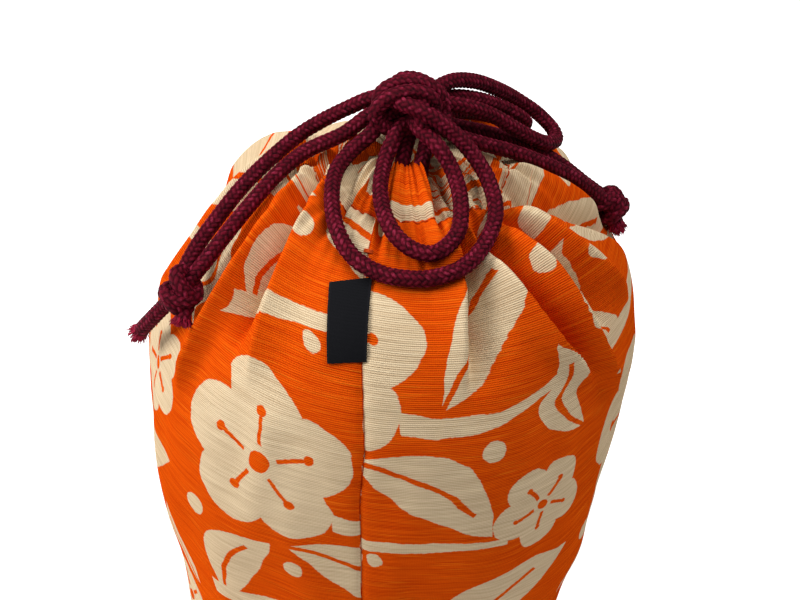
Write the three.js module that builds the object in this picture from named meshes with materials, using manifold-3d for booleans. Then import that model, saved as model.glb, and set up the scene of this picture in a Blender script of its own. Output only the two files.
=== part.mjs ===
// A filled drawstring pouch, drawn shut and tied in a bow. Millimetres, +Z up.
// The origin is the middle of the flat base, and the front side seam faces -Y.
import * as THREE from 'three';
import { mergeVertices } from 'three/addons/utils/BufferGeometryUtils.js';
import Module from 'manifold-3d';

const wasm = await Module();
wasm.setup();

// Driving dimensions of the sack
const bagWidth = 195;
const bagDepth = 190;
const baseInset = 13.5;
const shoulderHeight = 155;
const domeHeight = 89;
const baseEdgeRadius = 13;
const baseSquareness = 2.5;

// Driving dimensions of the gathered mouth
const mouthRadius = 15;
const pleatCount = 18;
const pleatDepth = 4.4;
const casingHeight = 21;
const casingPuff = 1.3;
const stitchGroove = 0.9;
const stitchGrooveWidth = 2.5;
const dimpleDepth = 6;
const slitLength = 52;
const slitFade = 12;
const slitDepth = 2.6;
const slitWidth = 3.5;
const seamCrease = 0.8;
const seamCreaseWidth = 3;

// Driving dimensions of the cord, the knots and the label
const cordDiameter = 5.5;
const clearance = 0.3;
const bowKnotSize = [30, 18, 16];
const bowKnotRise = 19;
const endKnotSize = [15, 12.5, 12];
const knotHeartInset = 2;
const labelWidth = 13.5;
const labelHeight = 27;
const labelThickness = 1;
const labelDrop = 17;
const labelSeamGap = 0.8;

// How finely the surfaces are cut
const columnsPerPleat = 6;
const wallLevels = 5;
const domeLevels = 15;
const edgeLevels = 3;
const lipShares = [0.3, 0.65];
const labelRows = 5;
const labelColumns = 4;
const cordSides = 8;
const stepInDiameters = 2.6;
const knotHeartSides = 12;
const knotTurnSides = 6;
const knotTurnSteps = 14;

// Materials
function cloth(colour) {
  return new THREE.MeshStandardMaterial({ color: colour, roughness: 0.9, metalness: 0 });
}
const orangeCotton = cloth(0xe8590c);
const blackRibbon = cloth(0x1b1a1d);
const burgundyCord = new THREE.MeshStandardMaterial({ color: 0x5e1226, roughness: 0.75, metalness: 0 });

// The sack: its half width at the base, and how the wall swells to the shoulder
const shoulderHalf = bagWidth / 2;
const depthRatio = bagDepth / bagWidth;
const frontAngle = -Math.PI / 2;

function wallHalfWidth(height) {
  const rise = Math.min(height / shoulderHeight, 1);
  return shoulderHalf - baseInset * (1 + Math.cos(Math.PI * rise)) / 2;
}

// A filled sack is nearly square at its base and round at its shoulder
function roundness(angle, height) {
  const power = 2 + (baseSquareness - 2) * Math.max(0, 1 - height / shoulderHeight);
  const across = Math.abs(Math.cos(angle)) ** power + Math.abs(Math.sin(angle)) ** power;
  return across ** (-1 / power);
}

// A smooth step from 0 to 1
function ease(value) {
  const t = Math.min(Math.max(value, 0), 1);
  return t * t * (3 - 2 * t);
}

// Pleats are uneven: the angle that the pleat wave sees drifts round the mouth
function pleatWave(angle) {
  const uneven = 0.1 * Math.sin(3 * angle + 0.7) + 0.06 * Math.sin(5 * angle + 2);
  return (1 - Math.cos(pleatCount * (angle + uneven))) / 2;
}

// How near an angle is to the front or the back seam, from 0 to 1, as a distance along the cloth
function nearSeam(angle, radius, halfWidth) {
  const turn = Math.asin(Math.abs(Math.cos(angle)));
  return Math.exp(-(((turn * radius) / halfWidth) ** 2));
}

// The dome over the shoulder is half an ellipsoid. The climb angle runs from 0 there to the mouth
const mouthClimb = Math.acos(mouthRadius / shoulderHalf);
const mouthHeight = shoulderHeight + domeHeight * Math.sin(mouthClimb);
const meanDomeRadius = (shoulderHalf + domeHeight) / 2;

function domeNormal(angle, climb) {
  return new THREE.Vector3(
    Math.cos(climb) * Math.cos(angle) / shoulderHalf,
    Math.cos(climb) * Math.sin(angle) / (shoulderHalf * depthRatio),
    Math.sin(climb) / domeHeight,
  ).normalize();
}

// A point this far off the smooth dome, before it is pleated
function besideDome(angle, climb, outward) {
  const radius = shoulderHalf * Math.cos(climb);
  return new THREE.Vector3(
    radius * Math.cos(angle),
    radius * depthRatio * Math.sin(angle),
    shoulderHeight + domeHeight * Math.sin(climb),
  ).addScaledVector(domeNormal(angle, climb), outward);
}

function domePoint(angle, climb, outward) {
  const radius = shoulderHalf * Math.cos(climb);
  const fromMouth = (mouthClimb - climb) * meanDomeRadius;
  const gathered = ease(climb / mouthClimb) ** 1.5;
  const casing = Math.max(0, 1 - fromMouth / casingHeight);
  const stitch = Math.exp(-(((fromMouth - casingHeight) / stitchGrooveWidth) ** 2));
  const slit = nearSeam(angle, radius, slitWidth) * ease((slitLength - fromMouth) / slitFade);
  const crease = nearSeam(angle, radius, seamCreaseWidth) * (1 - ease(climb * 2));
  const lift = outward + casingPuff * Math.sin(Math.PI * casing) - stitchGroove * stitch
    - pleatDepth * gathered * pleatWave(angle) - slitDepth * slit - seamCrease * crease;
  return besideDome(angle, climb, lift);
}

function wallPoint(angle, height, inset, outward) {
  const crease = seamCrease * nearSeam(angle, shoulderHalf, seamCreaseWidth) * (inset > 0 ? 0 : 1);
  const radius = (wallHalfWidth(height) - inset) * roundness(angle, height) + outward - crease;
  return new THREE.Vector3(
    radius * Math.cos(angle),
    radius * depthRatio * Math.sin(angle),
    height,
  );
}

// The levels of the sack, from the rim of its flat base to the lip of the mouth
function sackLevels(outward) {
  const levels = [];
  for (let i = 0; i <= edgeLevels; i++) {
    const turn = (Math.PI / 2) * (i / edgeLevels);
    const height = baseEdgeRadius * (1 - Math.cos(turn));
    const inset = baseEdgeRadius * (1 - Math.sin(turn));
    levels.push((angle) => wallPoint(angle, height - (i === 0 ? outward : 0), inset, outward));
  }
  for (let i = 1; i <= wallLevels; i++) {
    const height = baseEdgeRadius + (shoulderHeight - baseEdgeRadius) * (i / wallLevels);
    levels.push((angle) => wallPoint(angle, height, 0, outward));
  }
  for (let i = 1; i <= domeLevels; i++) {
    const climb = mouthClimb * Math.sin((Math.PI / 2) * (i / domeLevels));
    levels.push((angle) => domePoint(angle, climb, outward));
  }
  return levels;
}

// The lip rolls over into a dimple, where the drawn-up mouth closes
function lipPoint(angle, share, outward) {
  const edge = domePoint(angle, mouthClimb, outward);
  const fall = dimpleDepth * ease(share);
  return new THREE.Vector3(edge.x * (1 - share), edge.y * (1 - share), edge.z - fall);
}

// A closed skin over rings of points, with a pole at each end
function closedSkin(rings, bottomPole, topPole) {
  const count = rings[0].length;
  const corners = [];
  const put = (...points) => points.forEach((point) => corners.push(point.x, point.y, point.z));
  for (let level = 0; level + 1 < rings.length; level++) {
    for (let i = 0; i < count; i++) {
      const next = (i + 1) % count;
      const [a, b] = [rings[level][i], rings[level][next]];
      const [c, d] = [rings[level + 1][i], rings[level + 1][next]];
      put(a, b, d);
      put(a, d, c);
    }
  }
  for (let i = 0; i < count; i++) {
    const next = (i + 1) % count;
    put(bottomPole, rings[0][next], rings[0][i]);
    put(topPole, rings[rings.length - 1][i], rings[rings.length - 1][next]);
  }
  const geometry = new THREE.BufferGeometry();
  geometry.setAttribute('position', new THREE.Float32BufferAttribute(corners, 3));
  return geometry;
}

function sackGeometry(outward = 0) {
  const columns = pleatCount * columnsPerPleat;
  const angles = Array.from({ length: columns }, (_, i) => frontAngle + (2 * Math.PI * i) / columns);
  const rings = sackLevels(outward).map((level) => angles.map(level));
  for (const share of lipShares) {
    rings.push(angles.map((angle) => lipPoint(angle, share, outward)));
  }
  const floor = new THREE.Vector3(0, 0, -outward);
  const dimple = new THREE.Vector3(0, 0, mouthHeight - dimpleDepth + outward - pleatDepth / 2);
  return closedSkin(rings, floor, dimple);
}

// The label is a folded tab of ribbon, caught in the front seam by its right edge
function domeSurface(x, height, outward) {
  const climb = Math.asin((height - shoulderHeight) / domeHeight);
  const reach = shoulderHalf * Math.cos(climb);
  const angle = -Math.acos(x / reach);
  return domePoint(angle, climb, outward);
}

function labelGeometry() {
  const climbTop = Math.asin((mouthHeight - labelDrop - shoulderHeight) / domeHeight);
  const climbStep = labelHeight / (meanDomeRadius * labelRows);
  const sheet = (outward) => {
    const grid = [];
    for (let row = 0; row <= labelRows; row++) {
      const height = shoulderHeight + domeHeight * Math.sin(climbTop - row * climbStep);
      const line = [];
      for (let column = 0; column <= labelColumns; column++) {
        const fromSeam = labelSeamGap + labelWidth * (1 - column / labelColumns);
        line.push(domeSurface(-fromSeam, height, outward));
      }
      grid.push(line);
    }
    return grid;
  };
  // The tab lies flat over the pleats, so both its faces are a flat grid with straight edges
  const under = flattened(sheet(clearance), 0);
  const over = flattened(sheet(clearance), labelThickness);
  const rings = [];
  for (let row = 0; row <= labelRows; row++) {
    rings.push([...under[row], ...over[row].slice().reverse()]);
  }
  const middle = (points) => points.reduce((sum, p) => sum.add(p), new THREE.Vector3())
    .divideScalar(points.length);
  return closedSkin(rings, middle(rings[0]), middle(rings[labelRows]));
}

// Every row becomes a straight line between its ends, lifted until it clears the cloth under it
function flattened(grid, extra) {
  return grid.map((line) => {
    const first = line[0];
    const last = line[line.length - 1];
    const normal = new THREE.Vector3(first.x, first.y, first.z - shoulderHeight).normalize();
    const bow = line.map((point, i) => {
      const chord = first.clone().lerp(last, i / (line.length - 1));
      return point.clone().sub(chord).dot(normal);
    });
    const lift = Math.max(0, ...bow) + 2 * clearance + extra;
    return line.map((point, i) => first.clone().lerp(last, i / (line.length - 1))
      .addScaledVector(normal, lift));
  });
}

// Joining and cutting
function toSolid(geometry) {
  const bare = geometry.clone();
  bare.deleteAttribute('normal');
  bare.deleteAttribute('uv');
  const merged = mergeVertices(bare, 1e-4);
  return new wasm.Manifold(new wasm.Mesh({
    numProp: 3,
    vertProperties: new Float32Array(merged.attributes.position.array),
    triVerts: new Uint32Array(merged.index.array),
  }));
}

function fromSolid(solid) {
  const mesh = solid.getMesh();
  const geometry = new THREE.BufferGeometry();
  geometry.setAttribute('position', new THREE.BufferAttribute(mesh.vertProperties, 3));
  geometry.setIndex(new THREE.BufferAttribute(mesh.triVerts, 1));
  return geometry.toNonIndexed();
}

// Cord: a round tube along a smooth curve through chosen points
function cordTube(points, diameter = cordDiameter) {
  const curve = new THREE.CatmullRomCurve3(points.map((p) => new THREE.Vector3(...p)), false, 'centripetal');
  const section = new THREE.Shape();
  for (let i = 0; i < cordSides; i++) {
    const turn = (2 * Math.PI * i) / cordSides;
    const corner = [(diameter / 2) * Math.cos(turn), (diameter / 2) * Math.sin(turn)];
    if (i === 0) section.moveTo(...corner);
    else section.lineTo(...corner);
  }
  const steps = Math.max(2, Math.round(curve.getLength() / (cordDiameter * stepInDiameters)));
  return new THREE.ExtrudeGeometry(section, { steps, extrudePath: curve, curveSegments: 1 });
}

// A knot: an oval heart with turns of cord lying round it, side by side
function knotGeometry(size, turns, grown = 0) {
  const heart = new THREE.SphereGeometry(0.5, knotHeartSides, knotHeartSides * 2 / 3);
  heart.scale(...size.map((side) => side - knotHeartInset + 2 * grown));
  let knot = toSolid(heart);
  for (const { shift, lean } of turns) {
    const ringRadius = size[2] / 2 - cordDiameter / 2;
    const turn = new THREE.TorusGeometry(
      ringRadius, cordDiameter / 2 + grown, knotTurnSides, knotTurnSteps);
    turn.scale(size[1] / size[2], 1, 1);
    turn.rotateY(Math.PI / 2);
    turn.rotateZ(lean);
    turn.translate(shift, 0, 0);
    knot = knot.add(toSolid(turn));
  }
  return knot;
}

// Each end knot hangs against the dome, at an angle round it and a climb up it, in degrees
function againstDome(turn, climb, standOff) {
  return besideDome(THREE.MathUtils.degToRad(turn), THREE.MathUtils.degToRad(climb), standOff).toArray();
}

// The bow sits over the mouth. The turns lean the way the photo shows
const bowPlace = { at: [0, 0, mouthHeight + bowKnotRise], tilt: [0, -0.15, 0.35] };
const bowTurns = [{ shift: -5.6, lean: 0.1 }, { shift: 0, lean: 0.1 }, { shift: 5.6, lean: -0.35 }];
const leftKnotPlace = { at: againstDome(-140.2, 33.8, 7.3), tilt: [0, 0.55, 0.9] };
const rightKnotPlace = { at: againstDome(24.97, 36.13, 5.97), tilt: [0, 0.75, 0.35] };
const endTurns = [{ shift: -2.6, lean: 0.3 }, { shift: 2.6, lean: 0.1 }];

function placed(solid, place) {
  const turn = new THREE.Matrix4().makeRotationFromEuler(new THREE.Euler(...place.tilt, 'ZYX'));
  turn.setPosition(...place.at);
  return solid.transform(turn.elements);
}

function knotPair(size, turns, place) {
  return {
    shape: placed(knotGeometry(size, turns), place),
    room: placed(knotGeometry(size, turns, clearance), place),
  };
}

const bow = knotPair(bowKnotSize, bowTurns, bowPlace);
const leftKnot = knotPair(endKnotSize, endTurns, leftKnotPlace);
const rightKnot = knotPair(endKnotSize, endTurns, rightKnotPlace);
// The sack's room is measured square to the dome, and the sides of a pleat lean, so it is doubled
const sackRoom = toSolid(sackGeometry(2 * clearance));

// Routes of the cord, as chosen points. Each run starts or ends inside a knot or the sack, and is
// cut there so that it meets it with the same small clearance.
const routes = {
  front_riser_left: [[0.4, -17, 239], [0.4, -12, 246], [0.6, -6, 250.5], [1, -2, 256], [1, -1, 259.5]],
  front_riser_right: [[7, -17, 239], [7, -12, 245.6], [7.3, -6, 250], [7.2, -2, 256], [6.6, -1, 259.5]],
  back_riser_left: [[-6.5, 17, 239], [-6.5, 12, 246], [-6, 7, 251], [-4, 3, 257], [-3.6, 2, 260]],
  back_riser_right: [[0.2, 17, 239], [0, 12, 246], [0, 7, 251], [1, 3, 257], [1, 2, 260]],
  front_loop_outer: [[-6, -3, 259], [-12, -9, 253], [-17.8, -13.8, 247.9], [-21, -21, 244.4],
    [-20, -33, 241.2], [-15, -46, 236.4], [-8, -53.4, 232.8], [1, -57, 231], [10, -57.2, 230.6],
    [18.5, -55, 230.8], [26.5, -49.5, 232], [32, -41, 234.5], [34.8, -26, 239.3], [31, -15.5, 244.6],
    [25.5, -10.5, 250], [17, -6, 256.6], [7, -2.5, 260]],
  front_loop_inner: [[-1, -5, 257], [-4, -12.5, 252.3], [-5.4, -19, 246.6], [-4.2, -29.4, 243],
    [0, -40.4, 240.4], [5.2, -47, 238.4], [11, -50, 236.9], [16.9, -49.4, 236.2], [21.1, -44.6, 236.8],
    [23.7, -38, 238.6], [23.2, -29.3, 241.8], [20.9, -21.2, 244.9], [17, -15.8, 249.6],
    [11, -12.9, 255.6], [3.6, -6.3, 257.4]],
  back_loop_outer: [[4, 3, 264], [11.5, 13.2, 265.4], [19.3, 23.5, 261.5], [27.9, 35, 253.5],
    [36, 45.2, 244.6], [44, 47.4, 238.8], [50.3, 44, 235], [52, 37, 234.6], [48, 28, 238], [38.5, 19.5, 246],
    [27, 13, 255], [16, 5.5, 261], [5, 1, 262]],
  back_loop_inner: [[3, 6, 260], [14, 16, 258.4], [22.5, 24, 254.2], [30, 31, 248.6], [36.5, 35, 243.8],
    [39.8, 40.5, 238], [36, 46, 233.6], [27, 44, 236.8], [18, 33, 243.4], [9, 19, 249.6], [2, 8, 256.5]],
  left_tail_1: [[-2, 3, 261], [-12, 5.5, 260], [-23, 6, 253.5], [-38, 4.5, 242.6], [-47.5, -8, 236.8],
    [-55, -20, 230.8], [-60.5, -30, 224.4], [-65.8, -39.4, 217], [-68.4, -48.6, 210.8]],
  left_tail_2: [[-2, -1, 260], [-12, -1.5, 257.4], [-22, -4, 249], [-35, -8.5, 242], [-42.5, -18.5, 237.5],
    [-48.5, -29, 232], [-54.2, -38.6, 225.6], [-59.8, -46.4, 218.2], [-64.6, -52.4, 211.2]],
  right_tail_1: [[6, 6, 256], [13.4, 9, 251], [22, 14, 247.2], [33, 21, 241.8], [44.5, 27.5, 234.8],
    [55.5, 32, 227], [65, 35, 219], [73, 37, 212.5]],
  right_tail_2: [[9, 0.5, 257], [15, 1.6, 251.8], [24, 5, 247.6], [36.5, 10.5, 242.6], [49, 17, 235.6],
    [60, 23, 228], [69.5, 28.5, 219], [76, 31.5, 212.5]],
  left_end_1: [[-69.5, -54, 205], [-73.6, -51.8, 199.8], [-77.4, -51, 194.5],
    [-81.6, -49.6, 188.2], [-85.6, -47.4, 181.9]],
  left_end_2: [[-64.4, -58, 205.2], [-64.8, -61.6, 201], [-65.6, -63, 196.6]],
  right_end_1: [[77, 33, 209], [81, 29, 205.4], [85, 24, 201]],
  right_end_2: [[76.5, 35, 209], [79.5, 39.5, 203.5], [81.5, 42, 197]],
};

const cuts = {
  front_riser: [sackRoom, bow.room],
  back_riser: [sackRoom, bow.room],
  front_loop: [bow.room],
  back_loop: [bow.room],
  left_tail: [bow.room, leftKnot.room],
  right_tail: [bow.room, rightKnot.room],
  left_end: [leftKnot.room],
  right_end: [rightKnot.room],
};

// Beside a knot the runs press on each other: a later run gives way to those laid before it
const laid = [];

function cordRun(name) {
  const kind = Object.keys(cuts).find((start) => name.startsWith(start));
  let tube = toSolid(cordTube(routes[name]));
  for (const room of [...cuts[kind], ...laid]) tube = tube.subtract(room);
  laid.push(toSolid(cordTube(routes[name], cordDiameter + 2 * clearance)));
  const pieces = tube.decompose().sort((a, b) => b.volume() - a.volume());
  return fromSolid(pieces[0]);
}

// Assembly
const bag = new THREE.Group();

function addPiece(name, geometry, material) {
  const mesh = new THREE.Mesh(geometry, material);
  mesh.name = name;
  bag.add(mesh);
}

addPiece('bag_body', sackGeometry(), orangeCotton);
addPiece('side_label', labelGeometry(), blackRibbon);
addPiece('bow_knot', fromSolid(bow.shape), burgundyCord);
addPiece('left_end_knot', fromSolid(leftKnot.shape), burgundyCord);
addPiece('right_end_knot', fromSolid(rightKnot.shape), burgundyCord);
for (const name of Object.keys(routes)) {
  addPiece(name, cordRun(name), burgundyCord);
}

export default bag;
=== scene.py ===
# %% [markdown]
# # A drawstring pouch in furoshiki cloth
# A filled cotton pouch stands on a table, drawn shut at the top and tied in a bow with round
# braided cord. The CAD frame gives every piece its place and size. This lesson makes the looks:
# camera, cords, gathered cloth, stitching, a woven side label, and their materials.

# %% Load the frame
import math

import bpy
import numpy as np
from mathutils import Matrix, Vector
from mathutils.bvhtree import BVHTree


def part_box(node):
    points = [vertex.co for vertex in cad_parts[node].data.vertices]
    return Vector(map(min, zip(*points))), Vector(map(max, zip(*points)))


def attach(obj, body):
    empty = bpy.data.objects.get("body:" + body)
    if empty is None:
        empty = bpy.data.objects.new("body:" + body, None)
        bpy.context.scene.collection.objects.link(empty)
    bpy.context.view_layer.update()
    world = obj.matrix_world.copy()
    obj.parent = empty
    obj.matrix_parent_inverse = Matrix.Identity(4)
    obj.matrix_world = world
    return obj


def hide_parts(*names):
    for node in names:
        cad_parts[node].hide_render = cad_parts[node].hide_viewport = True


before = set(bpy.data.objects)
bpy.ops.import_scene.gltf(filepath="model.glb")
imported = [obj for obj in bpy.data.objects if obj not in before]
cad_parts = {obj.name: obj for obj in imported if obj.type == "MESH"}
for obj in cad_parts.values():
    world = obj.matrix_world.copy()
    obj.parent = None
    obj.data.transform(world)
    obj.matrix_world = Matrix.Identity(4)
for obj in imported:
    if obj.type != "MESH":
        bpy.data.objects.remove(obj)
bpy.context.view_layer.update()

# %% [markdown]
# Sizes are easier to read in millimetres, and Blender works in metres, so every mesh is worked out
# in millimetres and scaled once, when it is made. The sack's width and depth come from the frame,
# and its other sizes repeat the CAD source.

# %% Sizes of the sack, in millimetres
MM = 0.001
sack_low, sack_high = (np.array(corner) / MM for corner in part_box("bag_body"))
half_width = (sack_high[0] - sack_low[0]) / 2
half_depth = (sack_high[1] - sack_low[1]) / 2
shoulder_height = 155.0
dome_height = 89.0
mouth_radius = 15.0
casing_height = 21.0
cord_diameter = 5.5
print("sack:", round(2 * half_width), "x", round(2 * half_depth), "mm, mouth at", round(sack_high[2]))


# %% One way to make every mesh
def make_piece(name, points, faces, smooth=True):
    mesh = bpy.data.meshes.new(name)
    mesh.from_pydata((np.asarray(points) * MM).tolist(), [], faces)
    mesh.update()
    if smooth:
        mesh.polygons.foreach_set("use_smooth", [True] * len(mesh.polygons))
    piece = bpy.data.objects.new(name, mesh)
    bpy.context.collection.objects.link(piece)
    return piece


def add_values(piece, name, values):
    layer = piece.data.attributes.new(name, "FLOAT", "POINT")
    layer.data.foreach_set("value", np.asarray(values, dtype=np.float32).ravel())


# %% [markdown]
# ## The camera
# The photo was taken from above the front, a little to the right, with a short telephoto lens. The
# camera looks at a point just above the shoulder, and a small roll matches the lean of the picture.

# %% Camera
camera_elevation = math.radians(40.0)
camera_azimuth = math.radians(6.6)
camera_roll = math.radians(4.7)
camera_distance = 0.490
camera_target = Vector((0, 0, shoulder_height * MM))
framing_point = Vector((0.0009, 0.0106, 0.1680))

to_camera = Vector((
    math.sin(camera_azimuth) * math.cos(camera_elevation),
    -math.cos(camera_azimuth) * math.cos(camera_elevation),
    math.sin(camera_elevation),
))
camera_data = bpy.data.cameras.new("camera")
camera_data.sensor_width = 36.0
camera_data.lens = 55.4
camera = bpy.data.objects.new("camera", camera_data)
bpy.context.collection.objects.link(camera)
camera.location = camera_target + to_camera * camera_distance
looking = (framing_point - camera.location).to_track_quat("-Z", "Y")
camera.rotation_euler = (looking.to_matrix() @ Matrix.Rotation(camera_roll, 3, "Z")).to_euler()
bpy.context.scene.camera = camera
print("camera at", [round(v, 3) for v in camera.location])


# %% [markdown]
# ## The cords
# Two cords run round inside the casing. Each leaves it at a seam as two strands, and the four
# strands are tied in a bow. A real strand is one length, so each is one smooth route here too: up
# from the slit, round a loop, along a tail, through the end knot to its cut end. The points are
# listed and repeat the CAD runs. A curve with a bevel would be smooth, so the braid would
# be only bump. Instead the tube is a mesh, and every point is lifted by the braid's own height.

# %% Routes of the four strands, in millimetres
front_riser_left = [[0.4, -15, 241], [0.4, -12, 246], [0.6, -6, 250.5], [1, -2, 256]]
front_riser_right = [[7, -15, 241], [7, -12, 245.6], [7.3, -6, 250], [7.2, -2, 256]]
back_riser_left = [[-6.5, 15, 241], [-6.5, 12, 246], [-6, 7, 251], [-4, 3, 257]]
back_riser_right = [[0, 15, 241], [0, 12, 246], [0, 7, 251], [1, 3, 257]]
front_loop_outer = [
    [-6, -3, 259], [-12, -9, 253], [-17.8, -13.8, 247.9], [-21, -21, 244.4], [-20, -33, 241.2],
    [-15, -46, 236.4], [-8, -53.4, 232.8], [1, -57, 231], [10, -57.2, 230.6], [18.5, -55, 230.8],
    [26.5, -49.5, 232], [32, -41, 234.5], [34.8, -26, 239.3], [31, -15.5, 244.6], [25.5, -10.5, 250],
    [17, -8.5, 257.5], [8.5, -8.5, 263], [0, -7.5, 265.5], [-5, -3, 263.5],
]
front_loop_inner = [
    [-1, -5, 257], [-4, -12.5, 252.3], [-5.4, -19, 246.6], [-4.2, -29.4, 243], [0, -40.4, 240.4],
    [5.2, -47, 238.4], [11, -50, 236.9], [16.9, -49.4, 236.2], [21.1, -44.6, 236.8],
    [23.7, -38, 238.6], [23.2, -29.3, 241.8], [20.9, -21.2, 244.9], [17, -15.8, 249.6],
    [11, -12.9, 255.6], [3.6, -6.3, 257.4],
]
back_loop_outer = [
    [4, 3, 264], [11.5, 13.2, 265.4], [19.3, 23.5, 261.5], [27.9, 35, 253.5], [36, 45.2, 244.6],
    [44, 47.4, 238.8], [50.3, 44, 235], [52, 37, 234.6], [48, 28, 238], [38.5, 19.5, 246],
    [27, 13, 255], [16, 5.5, 261], [5, 1, 262],
]
back_loop_inner = [
    [3, 6, 260], [14, 16, 258.4], [22.5, 24, 254.2], [30, 31, 248.6], [36.5, 35, 243.8],
    [39.8, 40.5, 238], [36, 46, 233.6], [27, 44, 236.8], [18, 33, 243.4], [9, 19, 249.6],
    [2, 8, 256.5],
]
left_tail_1 = [
    [-2, 3, 261], [-12, 5.5, 260], [-23, 6, 253.5], [-38, 4.5, 242.6], [-47.5, -8, 236.8],
    [-55, -20, 230.8], [-60.5, -30, 224.4], [-65.8, -39.4, 217], [-68.4, -48.6, 210.8],
]
left_tail_2 = [
    [-2, -1, 260], [-12, -1.5, 257.4], [-22, -4, 249], [-35, -8.5, 242], [-42.5, -18.5, 237.5],
    [-48.5, -29, 232], [-54.2, -38.6, 225.6], [-59.8, -46.4, 218.2], [-64.6, -52.4, 211.2],
]
right_tail_1 = [
    [6, 6, 256], [13.4, 9, 251], [22, 14, 247.2], [33, 21, 241.8], [44.5, 27.5, 234.8],
    [55.5, 32, 227], [65, 35, 219], [73, 37, 212.5],
]
right_tail_2 = [
    [9, 0.5, 257], [15, 1.6, 251.8], [24, 5, 247.6], [36.5, 10.5, 242.6], [49, 17, 235.6],
    [60, 23, 228], [69.5, 28.5, 219], [76, 31.5, 212.5],
]
left_end_1 = [
    [-69.5, -54, 205], [-73.6, -51.8, 199.8], [-77.4, -51, 194.5], [-81.6, -49.6, 188.2],
    [-85.6, -47.4, 181.9],
]
left_end_2 = [[-64.6, -57, 206], [-64.8, -59.6, 203], [-65, -61, 201]]
right_end_1 = [[77, 33, 209], [79, 32, 206], [80, 31.5, 204]]
right_end_2 = [[76.5, 35, 209], [79.5, 39.5, 203.5], [81.5, 42, 197]]

strand_routes = {
    "front_strand_outer": front_riser_left + front_loop_outer + left_tail_2 + left_end_2,
    "front_strand_inner": front_riser_right + front_loop_inner + left_tail_1 + left_end_1,
    "back_strand_outer": back_riser_left + back_loop_outer + right_tail_2 + right_end_1,
    "back_strand_inner": back_riser_right + back_loop_inner + right_tail_1 + right_end_2,
}
strand_nodes = {
    "front_strand_outer": ["front_riser_left", "front_loop_outer", "left_tail_2", "left_end_2"],
    "front_strand_inner": ["front_riser_right", "front_loop_inner", "left_tail_1", "left_end_1"],
    "back_strand_outer": ["back_riser_left", "back_loop_outer", "right_tail_2", "right_end_1"],
    "back_strand_inner": ["back_riser_right", "back_loop_inner", "right_tail_1", "right_end_2"],
}


# %% A smooth line through chosen points
def smooth_line(points, step):
    """A centripetal Catmull-Rom line, cut again into equal steps."""
    chosen = np.array(points, dtype=float)
    padded = np.vstack([2 * chosen[0] - chosen[1], chosen, 2 * chosen[-1] - chosen[-2]])
    line = []
    for p0, p1, p2, p3 in zip(padded, padded[1:], padded[2:], padded[3:]):
        gaps = [np.linalg.norm(b - a) ** 0.5 for a, b in ((p0, p1), (p1, p2), (p2, p3))]
        t0, t1, t2, t3 = np.cumsum([0] + gaps)
        t = np.linspace(t1, t2, 24, endpoint=False)[:, None]
        a1 = ((t1 - t) * p0 + (t - t0) * p1) / (t1 - t0)
        a2 = ((t2 - t) * p1 + (t - t1) * p2) / (t2 - t1)
        a3 = ((t3 - t) * p2 + (t - t2) * p3) / (t3 - t2)
        b1 = ((t2 - t) * a1 + (t - t0) * a2) / (t2 - t0)
        b2 = ((t3 - t) * a2 + (t - t1) * a3) / (t3 - t1)
        line.append(((t2 - t) * b1 + (t - t1) * b2) / (t2 - t1))
    line = np.vstack([*line, chosen[-1:]])
    along = np.concatenate([[0], np.cumsum(np.linalg.norm(np.diff(line, axis=0), axis=1))])
    where = np.linspace(0, along[-1], max(4, int(round(along[-1] / step))) + 1)
    return np.stack([np.interp(where, along, line[:, axis]) for axis in range(3)], axis=1), along[-1]


# %% [markdown]
# A frame that follows the line without twisting keeps the braid straight along the cord. Each next
# frame is the last one, with the part along the new direction taken out.

# %% Frames along a line
def frames_along(line):
    ahead = np.gradient(line, axis=0)
    ahead /= np.linalg.norm(ahead, axis=1)[:, None]
    side = np.cross(ahead[0], [0.0, 0.0, 1.0])
    if np.linalg.norm(side) < 0.1:
        side = np.cross(ahead[0], [1.0, 0.0, 0.0])
    sides = []
    for direction in ahead:
        side = side - direction * side.dot(direction)
        side /= np.linalg.norm(side)
        sides.append(side)
    sides = np.array(sides)
    return ahead, sides, np.cross(ahead, sides)


# %% [markdown]
# ## The braid
# Sixteen yarns, eight turning each way, pass over two and under two, so the cord shows columns of
# small V shapes. In the two directions of the helices the surface is a chequerboard, and a yarn
# floats over two squares before it dives. No two floats look quite the same, so each gets a tone.

# %% Height of the braid
yarns_each_way = 8
braid_pitch = 2.1
braid_lift = 0.55


def braid_height(turn, along):
    first = yarns_each_way * turn + along / braid_pitch
    second = yarns_each_way * turn - along / braid_pitch
    first_yarn, second_yarn = np.floor(first), np.floor(second)
    first_float = (second + first_yarn) % 4
    second_float = (first + second_yarn + 2) % 4
    first_on_top = first_float < 2
    across = np.where(first_on_top, first, second) % 1 - 0.5
    share = np.where(first_on_top, first_float, second_float) / 2 - 0.5
    oval = np.sqrt(np.clip(1 - (2 * across) ** 2, 0, 1)) * np.cos(np.pi * share) ** 0.6
    number = np.where(first_on_top, first_yarn * 12.99 + np.floor((second + first_yarn) / 4) * 78.23,
                      second_yarn * 39.35 + np.floor((first + second_yarn + 2) / 4) * 11.14)
    tone = np.sin(number) * 43758.55 % 1
    return oval * (0.85 + 0.15 * tone), across, tone


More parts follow.
